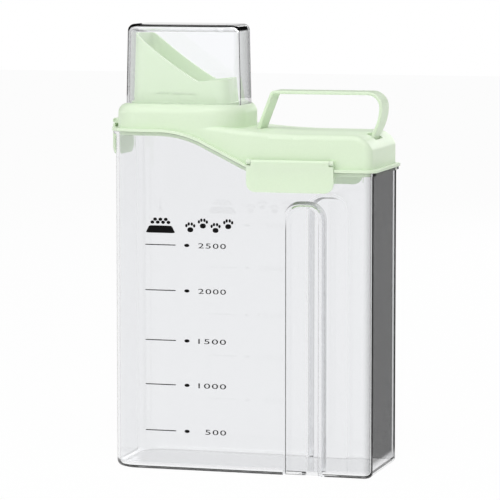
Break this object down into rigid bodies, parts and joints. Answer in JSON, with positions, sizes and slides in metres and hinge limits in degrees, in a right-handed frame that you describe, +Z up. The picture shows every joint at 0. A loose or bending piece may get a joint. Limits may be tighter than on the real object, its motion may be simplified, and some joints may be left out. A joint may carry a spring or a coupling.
{
  "type": "pet food storage container",
  "caption": "Clear narrow storage tank for dry pet food with a mint green wavy lid, strap handle, swing clasps and a pour spout under a clear measuring cup",
  "frame": {"origin": "on the base, under the middle of the outline", "axes": "+X from the pour end to the grip end, +Y from the front to the back, +Z up"},
  "size_m": [0.2052, 0.0902, 0.3267],
  "materials": {
    "clear_plastic": "clear, polished",
    "mint_plastic": "satin, moulded",
    "seal_rubber": "soft, translucent white"
  },
  "bodies": {
    "tank": {"tank": "clear_plastic"},
    "lid": {"lid": "mint_plastic", "rim_seal": "seal_rubber", "pour_spout": "mint_plastic", "cup_seal_ring": "seal_rubber", "handle": "mint_plastic"},
    "cup": {"measuring_cup": "clear_plastic"},
    "front_clasp": {"front_clasp": "mint_plastic"},
    "back_clasp": {"back_clasp": "mint_plastic"},
    "end_clasp": {"end_clasp": "mint_plastic"}
  },
  "joints": [
    {"name": "lid_lift", "type": "slide", "parent": "tank", "child": "lid", "axis": [0, 0, 1], "range_m": [0, 0.018]},
    {"name": "cup_lift", "type": "slide", "parent": "lid", "child": "cup", "axis": [0, 0, 1], "range_m": [0, 0.065]},
    {"name": "front_clasp_hinge", "type": "hinge", "parent": "lid", "child": "front_clasp", "pos_m": [0.03957, -0.0432, 0.2288], "axis": [-1, 0, 0], "range_deg": [0, 150]},
    {"name": "back_clasp_hinge", "type": "hinge", "parent": "lid", "child": "back_clasp", "pos_m": [0.03957, 0.0432, 0.2288], "axis": [1, 0, 0], "range_deg": [0, 150]},
    {"name": "end_clasp_hinge", "type": "hinge", "parent": "lid", "child": "end_clasp", "pos_m": [-0.10062, 0, 0.2556], "axis": [0, 1, 0], "range_deg": [0, 150]}
  ],
  "couplings": [
    {"joint": "front_clasp_hinge", "follows": "lid_lift", "rad_per_m": 145.44},
    {"joint": "back_clasp_hinge", "follows": "lid_lift", "rad_per_m": 145.44},
    {"joint": "end_clasp_hinge", "follows": "lid_lift", "rad_per_m": 145.44}
  ]
}
